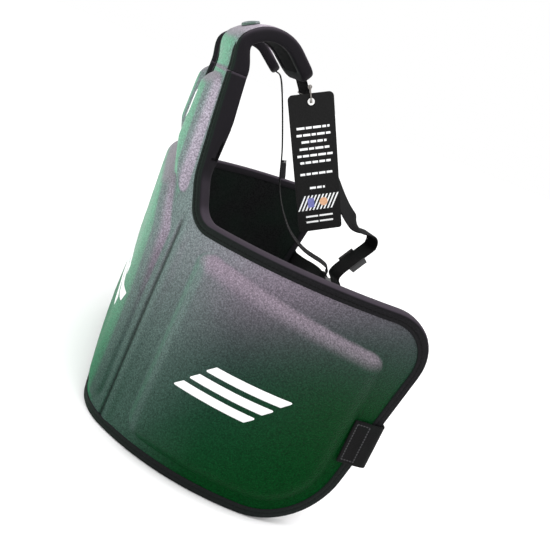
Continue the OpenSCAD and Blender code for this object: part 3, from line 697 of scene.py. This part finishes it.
def web_cloth(patch=False):
    """Woven strip; the patch has a stitched rectangle where it starts."""
    m = Nodes("webbing_stitched" if patch else "webbing_woven")
    u, v = m.uv()
    a = m.math("SINE", m.math("MULTIPLY", u, 3600.0))
    b = m.math("SINE", m.math("MULTIPLY", v, 4200.0))
    cross = m.math("MULTIPLY", a, b)
    fuzz = m.noise(2200, 3)
    broad = m.noise(26, 2)
    color = m.mix(m.ramp(cross, -0.5, 0.8), (0.002, 0.002, 0.002), (0.009, 0.009, 0.0095))
    color = m.mix(m.math("MULTIPLY", m.ramp(broad, 0.45, 0.7), 0.3), color, (0.006, 0.013, 0.009))
    height = m.math("ADD", cross, m.math("MULTIPLY", fuzz, 0.5))
    if patch:
        left, right, bottom, top, half = 0.0035, 0.0165, 0.004, 0.046, 0.0006
        ends = m.math("MAXIMUM", m.near(u, left, half), m.near(u, right, half))
        ends = m.math("MULTIPLY", ends, m.within(v, bottom, top))
        ends = m.math("MULTIPLY", ends, m.dashes(v, 320.0, 0.7))
        rows = m.math("MAXIMUM", m.near(v, bottom, half), m.near(v, top, half))
        rows = m.math("MULTIPLY", rows, m.within(u, left, right))
        rows = m.math("MULTIPLY", rows, m.dashes(u, 320.0, 0.7))
        thread = m.math("MAXIMUM", ends, rows)
        color = m.mix(thread, color, (0.05, 0.05, 0.053))
        height = m.math("ADD", height, m.math("MULTIPLY", thread, 3.0))
    return m.set(Base_Color=color, Roughness=0.78, Normal=m.bump(height, 0.5, 0.0004),
                 Specular_IOR_Level=0.08, Sheen_Weight=0.02)


def plastic():
    m = Nodes("plastic_moulded")
    tex = m.noise(1600, 2)
    wear = m.ramp(m.noise(60, 4, 0.6), 0.5, 0.75)
    color = m.mix(m.math("MULTIPLY", wear, 0.4), (0.007, 0.007, 0.008), (0.022, 0.023, 0.025))
    return m.set(Base_Color=color, Roughness=m.ramp(tex, 0.3, 0.7, 0.38, 0.52),
                 Normal=m.bump(tex, 0.2, 0.0002))


def rubber():
    m = Nodes("rubber_badge")
    # painted green reflection towards the front and low rear, and painted highlight where the badge faces
    # up
    color = paint_reflection_and_highlight(m, (0.03, 0.04, 0.04), (0.03, 0.085, 0.055), (0.11, 0.14, 0.14), 1.0, 0.9)
    return m.set(Base_Color=color, Roughness=m.ramp(m.noise(400, 3), 0.3, 0.7, 0.4, 0.55),
                 Normal=m.bump(m.noise(1200, 2), 0.2, 0.0002))


def print_white():
    m = Nodes("print_white")
    scuff = m.ramp(m.noise(260, 4, 0.7), 0.62, 0.8, 0.0, 0.55)
    color = m.mix(scuff, (0.86, 0.87, 0.87), (0.5, 0.53, 0.52))
    return m.set(Base_Color=color, Roughness=0.5, Normal=m.bump(m.cells(620), 0.25, 0.0003))


def label_cloth():
    m = Nodes("label_woven")
    rows = m.math("SINE", m.math("MULTIPLY", m.uv()[1], 9000.0))
    color = m.mix(m.ramp(rows, -1.0, 1.0), (0.6, 0.6, 0.6), (0.85, 0.85, 0.85))
    return m.set(Base_Color=color, Roughness=0.8, Normal=m.bump(rows, 0.3, 0.0002))


def card():
    m = Nodes("card_coated")
    fibre = m.noise(700, 4, 0.6)
    color = m.mix(m.ramp(fibre, 0.4, 0.7), (0.006, 0.006, 0.006), (0.010, 0.010, 0.010))
    return m.set(Base_Color=color, Roughness=m.ramp(m.noise(40, 3), 0.3, 0.7, 0.5, 0.62),
                 Normal=m.bump(fibre, 0.08, 0.0002), Specular_IOR_Level=0.12)


def foam():
    m = Nodes("foam_closed_cell")
    pores = m.cells(900)
    color = m.mix(m.ramp(pores, 0.2, 0.6), (0.10, 0.10, 0.11), (0.17, 0.17, 0.18))
    return m.set(Base_Color=color, Roughness=0.9, Normal=m.bump(pores, 0.3, 0.0004))


def string_cord():
    m = Nodes("string_waxed")
    twist = m.noise(2600, 2)
    color = m.mix(m.ramp(twist, 0.35, 0.65), (0.10, 0.09, 0.08), (0.28, 0.26, 0.24))
    return m.set(Base_Color=color, Roughness=0.6, Normal=m.bump(twist, 0.5, 0.0003))


def gloss_white():
    m = Nodes("eyelet_plastic")
    shade = m.noise(300, 3)
    color = m.mix(m.ramp(shade, 0.4, 0.7), (0.82, 0.82, 0.80), (0.72, 0.72, 0.70))
    return m.set(Base_Color=color, Roughness=0.3, Normal=m.bump(shade, 0.05, 0.0001))


def ink(name, rgb):
    m = Nodes(name)
    color = m.mix(m.ramp(m.noise(900, 3), 0.4, 0.7), rgb, tuple(c * 0.75 for c in rgb))
    return m.set(Base_Color=color, Roughness=0.5, Normal=m.bump(m.noise(700, 2), 0.05, 0.0001))


LEATHER, BINDING, LINING, WEB = leather(), binding_cloth(), lining_cloth(), web_cloth()
PLASTIC, RUBBER, PRINT, LABEL = plastic(), rubber(), print_white(), label_cloth()
WEB_PATCH = web_cloth(patch=True)
CARD, FOAM, STRING, EYELET = card(), foam(), string_cord(), gloss_white()
INK_BLUE, INK_ORANGE = ink("ink_blue", (0.16, 0.17, 0.45)), ink("ink_orange", (0.75, 0.42, 0.24))

SLOT_MATERIAL = {"leather": LEATHER, "foam": FOAM, "lining": LINING, "binding": BINDING, "webbing": WEB,
                 "plastic": PLASTIC, "rubber": RUBBER, "label": LABEL, "string": STRING,
                 "eyelet": EYELET, "card": CARD}
for sub in frame["record"]["subparts"]:
    node = frame["nodes"][sub["node"]]
    node.data.materials.clear()
    node.data.materials.append(SLOT_MATERIAL[sub["material_slot"]])

# ---- panels --------------------------------------------------------------------------------

FOLD_TURN = math.radians(40.3)  # the panel's heading at the fold
ALONG = np.array([math.cos(FOLD_TURN), math.sin(FOLD_TURN) * math.cos(LEAN),
                  -math.sin(FOLD_TURN) * math.sin(LEAN)])
MARK_LIFT, MARK_SINK = 0.5, 0.3  # a print stands on the leather and reaches into it


def bend_panel(obj, side, word):
    """Bakes the piece's placement; the ends worked out over the fold are not used, and the wing is not
    bent.
    """
    start = panel(160.0, 130.0, 0.0)
    ends = np.stack([start, start + ALONG * 0.022]) * [side, 1, 1]
    tuple(ends[0])
    tuple(ends[1])
    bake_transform(obj)


def bend_strap(obj, side, word):
    """Bakes the piece's placement; the strap is not bent over the crease."""
    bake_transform(obj)


def settle(obj, replaced=(), body=None):
    """Hides the CAD nodes a piece stands for and attaches it to the body it rides on."""
    if replaced:
        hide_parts(*replaced)
    if body:
        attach(obj, body)


def printed(name, outline, body, mirror, step=2.6):
    """Flat print on the panel's leather."""
    mark = shell(name, rounded(outline, 3), step, panel, lambda s, z: -relief(s, z) - MARK_LIFT,
                 lambda s, z: -relief(s, z) + MARK_SINK, PRINT, mirror)
    settle(mark, body=body)


def padded(s, z):
    """Depth of the lining's soft face."""
    p = np.stack([s, z], -1)
    return PANEL_T + 1.4 * smooth(inside_distance(p, panel_edge), 8, 26) + 0.5 * ripple(s, z, 5)


def edge_index(edge, u, v):
    return int(np.argmin(np.linalg.norm(edge - [u, v], axis=1)))


for side, word in ((1, "left"), (-1, "right")):
    mirror = side < 0
    shoulder = "shoulder_" + word
    # the left half's pieces also stand for the CAD nodes that span the whole chest
    skin = shell("panel_leather_" + word, panel_edge, 2.6, panel, lambda s, z: -relief(s, z),
                 lambda s, z: 1.5 + 0 * s, LEATHER, mirror)
    names = ["wing_cover_" + word, "upper_pad_foam_" + word, "wing_pad_foam_" + word]
    settle(skin, names + ([] if mirror else ["chest_cover", "centre_pad_foam"]))
    bend_panel(skin, side, word)

    inner = shell("panel_lining_" + word, panel_edge, 5.0, panel, lambda s, z: 8.75 + 0 * s, padded,
                  LINING, mirror)
    settle(inner, ["wing_lining_" + word] + ([] if mirror else ["chest_lining"]))
    bend_panel(inner, side, word)

    # outer: from the middle of the bottom, round the rear, along the wing's top and up the armhole
    edge = resample(panel_edge, 3.0)
    outer_path = edge[:edge_index(edge, ARM_S, CREASE) + 1]
    neck_path = edge[edge_index(edge, NECK_X, CREASE):edge_index(edge, 0, NECK_Z) + 1]
    bound = ["wing_binding_" + word] + ([] if mirror else ["chest_binding"])
    for part, path, names in (("outer", outer_path, bound), ("neck", neck_path, ())):
        strip = binding("panel_binding_%s_%s" % (part, word), path, panel,
                        np.full(len(path), PANEL_T), BINDING, mirror)
        settle(strip, names)
        bend_panel(strip, side, word)

    # shoulder strap
    outline = strap_outline()
    cover = shell("shoulder_leather_" + word, outline, 2.6, strap, lambda w, t: -strap_relief(w, t),
                  lambda w, t: 1.5 + 0 * w, LEATHER, mirror)
    settle(cover, ["shoulder_cover_" + word])
    bend_strap(cover, side, word)
    under = shell("shoulder_lining_" + word + "_soft", outline, 4.0, strap, lambda w, t: 1.7 + 0 * w,
                  lambda w, t: strap_thick(t) + 0.9 * smooth(strap_half(t) - np.abs(w), 8, 22),
                  LINING, mirror)
    settle(under, ["shoulder_lining_" + word, "shoulder_foam_" + word])
    bend_strap(under, side, word)
    rim = resample(outline, 2.5, closed=False)
    strip = binding("shoulder_binding_" + word + "_soft", rim, strap, strap_thick(rim[:, 1]),
                    BINDING, mirror)
    settle(strip, ["shoulder_binding_" + word])
    bend_strap(strip, side, word)

    # moulded badge with a raised rim, on top of the arch
    a = np.linspace(0, 2 * math.pi, 49)[:-1]
    drop = np.stack([17 * np.cos(a), 10 * np.sin(a) * np.sin(a / 2) ** 0.7], -1) + [0, strap_t(118)]

    def badge_top(w, t):
        deep = inside_distance(np.stack([w, t], -1), drop)
        return -strap_relief(w, t) - 1.3 - 1.3 * (smooth(deep, 0, 0.8) - smooth(deep, 2.0, 3.0))

    badge = shell("shoulder_badge_" + word + "_moulded", drop, 0.9, strap, badge_top,
                  lambda w, t: -strap_relief(w, t) + 0.3, RUBBER, mirror)
    settle(badge, ["shoulder_badge_" + word], shoulder)

    t = strap_t(58)
    flag = rounded([(-11, t - 5, 1), (11, t - 5, 1), (11, t + 5, 1), (-11, t + 5, 1)], 3)
    label = shell("strap_label_" + word + "_woven", flag, 1.2, strap,
                  lambda w, t: -strap_relief(w, t) - 0.7, lambda w, t: -strap_relief(w, t) + 0.2,
                  LABEL, mirror)
    settle(label, ["strap_label_" + word], shoulder)

    # generic printed marks: stepped bars
    for k in range(3):
        u, c = 12 * k, 110 + 15 * k
        bar = [(244 + u, c - 4.5, 1), (322 + u, c - 4.5, 1), (331 + u, c + 4.5, 1), (253 + u, c + 4.5, 1)]
        printed("print_wing_%s_%d" % (word, k + 1), bar, "wing_" + word, mirror)
    for k, (c, end) in enumerate(((118, 96), (140, 128), (162, 104))):
        bar = [(0, c - 7, 0), (end, c - 7, 1), (end + 8, c + 7, 1), (0, c + 7, 0)]
        printed("print_chest_%s_%d" % (word, k + 1), bar, "chest", mirror)
    dot = [(100, 340, 1), (112, 346, 1), (112, 372, 1), (100, 366, 1)]
    printed("print_strap_" + word, dot, "chest", mirror, 2.0)

# ---- waist belt ----------------------------------------------------------------------------

BELT_Z, BELT_W, BELT_RISE = 95.0, 50.0, 30.0  # the belt rises towards the buckle
anchor_lo, anchor_hi = (v * 1000 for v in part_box("belt_anchor_left"))
BELT_Y = anchor_hi.y - 0.9
PIVOT_X = anchor_lo.x - 1.2
MID_Z = BELT_Z + BELT_W / 2
BUCKLE_Z = MID_Z + BELT_RISE
BAR_R = 3.5  # round the buckle's bar
LOOP_R = 1.4
LOOP_X = {"left": 40.0, "right": 66.0}
for side, word, bar_x in ((1, "left", 20.0), (-1, "right", 41.0)):
    # from the patch on the wing, round its rear edge, to the buckle's bar and back on itself
    ss = np.linspace(420, 441, 12)
    wing = panel(ss, np.full(12, MID_Z), -1.7 - 1.4 * smooth(ss, 428, 441)) * 1000
    path = [tuple(p) for p in wing]
    edge_x = wing[-1][0]
    path += [(edge_x + 0.2, BELT_Y - 5.0, MID_Z), (edge_x - 0.8, BELT_Y - 1.6, MID_Z),
             (edge_x - 3.2, BELT_Y, MID_Z), (PIVOT_X + 6, BELT_Y, MID_Z)]
    path += [(PIVOT_X, BELT_Y, MID_Z), (200, BELT_Y + 0.8, MID_Z + BELT_RISE * 0.30),
             (140, BELT_Y + 0.8, MID_Z + BELT_RISE * 0.72), (96, BELT_Y, MID_Z + BELT_RISE * 0.97),
             (70, BELT_Y, BUCKLE_Z), (bar_x + 18, BELT_Y + 0.4, BUCKLE_Z),
             (bar_x + 8, BELT_Y + 2.6, BUCKLE_Z)]
    path += [(bar_x + BAR_R * math.cos(a), BELT_Y + BAR_R * math.sin(a), BUCKLE_Z)
             for a in np.radians((80, 120, 160, 200, 240, 280))]
    path += [(bar_x + 8, BELT_Y - 2.6, BUCKLE_Z), (bar_x + 18, BELT_Y - 1.9, BUCKLE_Z),
             (bar_x + 44, BELT_Y - 1.9, BUCKLE_Z)]
    belt = webbing("belt_" + word + "_woven", spline(path, 1.5), (0, 0, 1), BELT_W, WEB_PATCH, 1.7,
                   mirror=side < 0)
    settle(belt, ["belt_anchor_" + word, "belt_webbing_" + word])
    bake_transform(belt)
    # a narrow loop round the belt's two layers, where the shoulder webbing is sewn on
    hz, hy = BELT_W / 2 + 1.6 - LOOP_R, 2.75 - LOOP_R
    loop = []
    for cy, cz, start in ((hy, hz, 0), (-hy, hz, 90), (-hy, -hz, 180), (hy, -hz, 270)):
        for a in np.radians(np.linspace(start, start + 90, 6)):
            y, z = cy + LOOP_R * math.cos(a), cz + LOOP_R * math.sin(a)
            loop.append((LOOP_X[word], BELT_Y + y, BUCKLE_Z + z))
    ring = webbing("belt_loop_" + word + "_woven", resample(np.array(loop), 4.0), (1, 0, 0), 25.0, WEB, 1.5,
                   closed=True, mirror=side < 0)
    settle(ring, ["belt_loop_" + word], "belt_" + word)

# ---- shoulder webbing ----------------------------------------------------------------------

tail = strap(0.0, STRAP_L, 5.5) * 1000
WEB_LOW = BELT_Z + BELT_RISE + BELT_W + 4.4
for side, word in ((1, "left"), (-1, "right")):
    # each line is (distance from the strap's end towards the belt loop, height)
    start = np.array([tail[0], tail[1] + 1.2])
    run = np.array([LOOP_X[word], BELT_Y]) - start
    full = float(np.linalg.norm(run))
    run = run / full
    top = tail[2] - 1.2
    if side > 0:
        # slack: it runs past, turns back on itself and drops to the belt
        o = np.array([full - 8, 266.0])
        end = o + [-22, -47]
        line = [(-9, top + 8.0), (0, top), (8, top - 9), (20, top - 23), (70, 347), (119, 302)]
        bend = np.radians((100, 72, 44, 16, -12, -40))
        line += [o + [-18, 15]] + [o + 12 * np.array([math.cos(a), math.sin(a)]) for a in bend]
        line += [end, end + [5, -14], end + [14, -23], (full - 2, WEB_LOW + 11), (full, WEB_LOW)]
    else:
        line = [(-9, top + 8.0), (0, top), (13, top - 12), (44, 330), (64, 268), (94, 224), (126, 202),
                (full - 12, 193), (full - 1, WEB_LOW + 8), (full, WEB_LOW)]
    flat = spline(np.array([tuple(p) for p in line]), 2.0)
    pts = np.stack([start[0] + flat[:, 0] * run[0], start[1] + flat[:, 0] * run[1], flat[:, 1]], -1)
    across = np.broadcast_to(np.array([run[1], -run[0], 0]), pts.shape)
    if side > 0:
        # the slack part turns its face towards the side before it folds
        share = np.linspace(0, 1, len(pts))
        twist = np.radians(52) * (smooth(share, 0.16, 0.42) - smooth(share, 0.56, 0.64))
        tangent = np.gradient(pts, axis=0)
        tangent /= np.linalg.norm(tangent, axis=1)[:, None]
        across = across * np.cos(twist)[:, None] + np.cross(tangent, across) * np.sin(twist)[:, None]
    strip = webbing("shoulder_webbing_" + word + "_woven", pts, across, 25.0, WEB, 1.7, mirror=side < 0)
    settle(strip, ["shoulder_webbing_" + word], "shoulder_" + word)

# ---- printing on the hang tag --------------------------------------------------------------

corners = np.array([v.co for v in frame["nodes"]["hang_tag"].data.vertices]) * 1000
TAG_LEAN = math.radians(27)
TAG_W = 47.0
down = np.array([0, math.sin(TAG_LEAN), -math.cos(TAG_LEAN)])
wide = np.array([0, math.cos(TAG_LEAN), math.sin(TAG_LEAN)])
card_x = corners[:, 0].max()
head = (corners @ down).min()
left = (corners @ wide).min()


def on_card(name, outlines, material, lift=0.06):
    """Flat printed shapes on the card; outlines are in millimetres from its top left corner."""
    verts, faces = [], []
    for shape in outlines:
        n, k = len(shape), len(verts)
        for x in (card_x - 0.05, card_x + lift):
            for u, v in shape:
                p = wide * (left + u) + down * (head + v)
                verts.append((x / 1000, p[1] / 1000, p[2] / 1000))
        faces.append(tuple(range(k + n, k + 2 * n)))
        faces.append(tuple(range(k + n - 1, k - 1, -1)))
        faces += [(k + i, k + (i + 1) % n, k + n + (i + 1) % n, k + n + i) for i in range(n)]
    settle(new_mesh(name, np.array(verts), faces, material, flip=True, flat=True), body="tag")


def bar(u0, v0, u1, v1):
    return [(u0, v0), (u1, v0), (u1, v1), (u0, v1)]


# dashes in place of words, each row centred: (height, half its width)
rows, rng, mid = [], np.random.default_rng(4), TAG_W / 2
for v, half in ((32, 17), (39, 17.5), (46, 13), (53, 15.5), (60, 18.5), (67, 16), (79, 17), (94, 8)):
    u = mid - half
    while u < mid + half - 1:
        w = float(rng.uniform(3.5, 8.5))
        rows.append(bar(u, v, min(u + w, mid + half), v + 2.3))
        u += w + 1.3
for v in (125, 131):
    rows.append(bar(9, v, 22, v + 1.9))
    rows.append(bar(mid, v, 38, v + 1.9))
on_card("tag_print_lines", rows, PRINT)
# slanted stripes that end at the card's right edge
stripes = []
for u in 1.0 + 3.9 * np.arange(12):
    right_top, left_top = min(TAG_W - 0.4, u + 9.7), min(TAG_W - 0.8, u + 8)
    if right_top - left_top > 0.5:
        stripes.append([(u, 119.0), (u + 1.7, 119.0), (right_top, 103.0), (left_top, 103.0)])
on_card("tag_print_stripes", stripes, PRINT, 0.05)
on_card("tag_print_square", [bar(12, 106, 19, 116)], INK_BLUE, 0.09)
disc = [(29 + 4.4 * math.cos(a), 111 + 4.4 * math.sin(a)) for a in np.linspace(0, 2 * math.pi, 25)[:-1]]
on_card("tag_print_disc", [disc], INK_ORANGE, 0.09)

# ---- stage ---------------------------------------------------------------------------------

floor_mat = Nodes("floor_pale")
shade = floor_mat.noise(3, 2)
pale = floor_mat.mix(floor_mat.ramp(shade, 0.3, 0.7), (0.955, 0.955, 0.955), (0.97, 0.97, 0.97))
floor_mat.set(Base_Color=pale, Roughness=0.9, Specular_IOR_Level=0.0)
square = [(-30, -30, 0), (30, -30, 0), (30, 30, 0), (-30, 30, 0)]
floor = new_mesh("floor", square, [(0, 1, 2, 3)], floor_mat.mat)
floor.location.z = -0.0006  # just below the object
floor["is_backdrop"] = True

scene = bpy.context.scene
scene.view_settings.view_transform = "Standard"
# a world that is brighter above, and plain white to the camera
world = bpy.data.worlds.new("studio")
scene.world = world
world.use_nodes = True
tree = world.node_tree
soft = tree.nodes["Background"]
coord, split, grade = (tree.nodes.new("ShaderNode" + k) for k in ("TexCoord", "SeparateXYZ", "MapRange"))
tree.links.new(coord.outputs["Generated"], split.inputs[0])
tree.links.new(split.outputs[2], grade.inputs["Value"])
for key, value in (("From Min", -0.1), ("From Max", 0.95), ("To Min", 0.50), ("To Max", 1.50)):
    grade.inputs[key].default_value = value
tree.links.new(grade.outputs[0], soft.inputs[1])
soft.inputs[0].default_value = (1.0, 1.0, 1.0, 1)
white, pick, path = (tree.nodes.new("ShaderNode" + k) for k in ("Background", "MixShader", "LightPath"))
tree.links.new(path.outputs["Is Camera Ray"], pick.inputs[0])
tree.links.new(soft.outputs[0], pick.inputs[1])
tree.links.new(white.outputs[0], pick.inputs[2])
tree.links.new(pick.outputs[0], tree.nodes["World Output"].inputs[0])
white.inputs[0].default_value = (1.0, 1.0, 1.0, 1)


def area(name, place, target, size, power, rgb):
    light = bpy.data.lights.new(name, "AREA")
    light.size, light.energy, light.color = size, power, rgb
    obj = bpy.data.objects.new(name, light)
    scene.collection.objects.link(obj)
    obj.location = place
    obj.rotation_euler = (Vector(target) - Vector(place)).to_track_quat("-Z", "Y").to_euler()


area("light_top", (0.5, 0.5, 1.5), (0.1, 0.15, 0.2), 0.9, 13, (1.0, 0.97, 1.0))
area("light_front", (0.4, -1.3, 0.7), (0, 0.1, 0.2), 1.0, 6, (0.95, 1.0, 0.97))

cam_data = bpy.data.cameras.new("camera")
cam = bpy.data.objects.new("camera", cam_data)
scene.collection.objects.link(cam)
cam_data.lens, cam_data.sensor_width = 37.81, 36.0
cam_data.clip_start, cam_data.clip_end = 0.01, 200
azimuth, elevation, roll, reach = math.radians(75.1), math.radians(17.29), math.radians(22.13), 0.7849
target = Vector((0, 0.18835, 0.17297))
back = Vector((math.sin(azimuth) * math.cos(elevation), -math.cos(azimuth) * math.cos(elevation),
               math.sin(elevation)))
cam.location = target + back * reach
look = (-back).to_track_quat("-Z", "Y")
cam.rotation_mode = "QUATERNION"
cam.rotation_quaternion = look @ Quaternion((0, 0, 1), roll)
scene.camera = cam

sizes = save_size("visual", sizes)
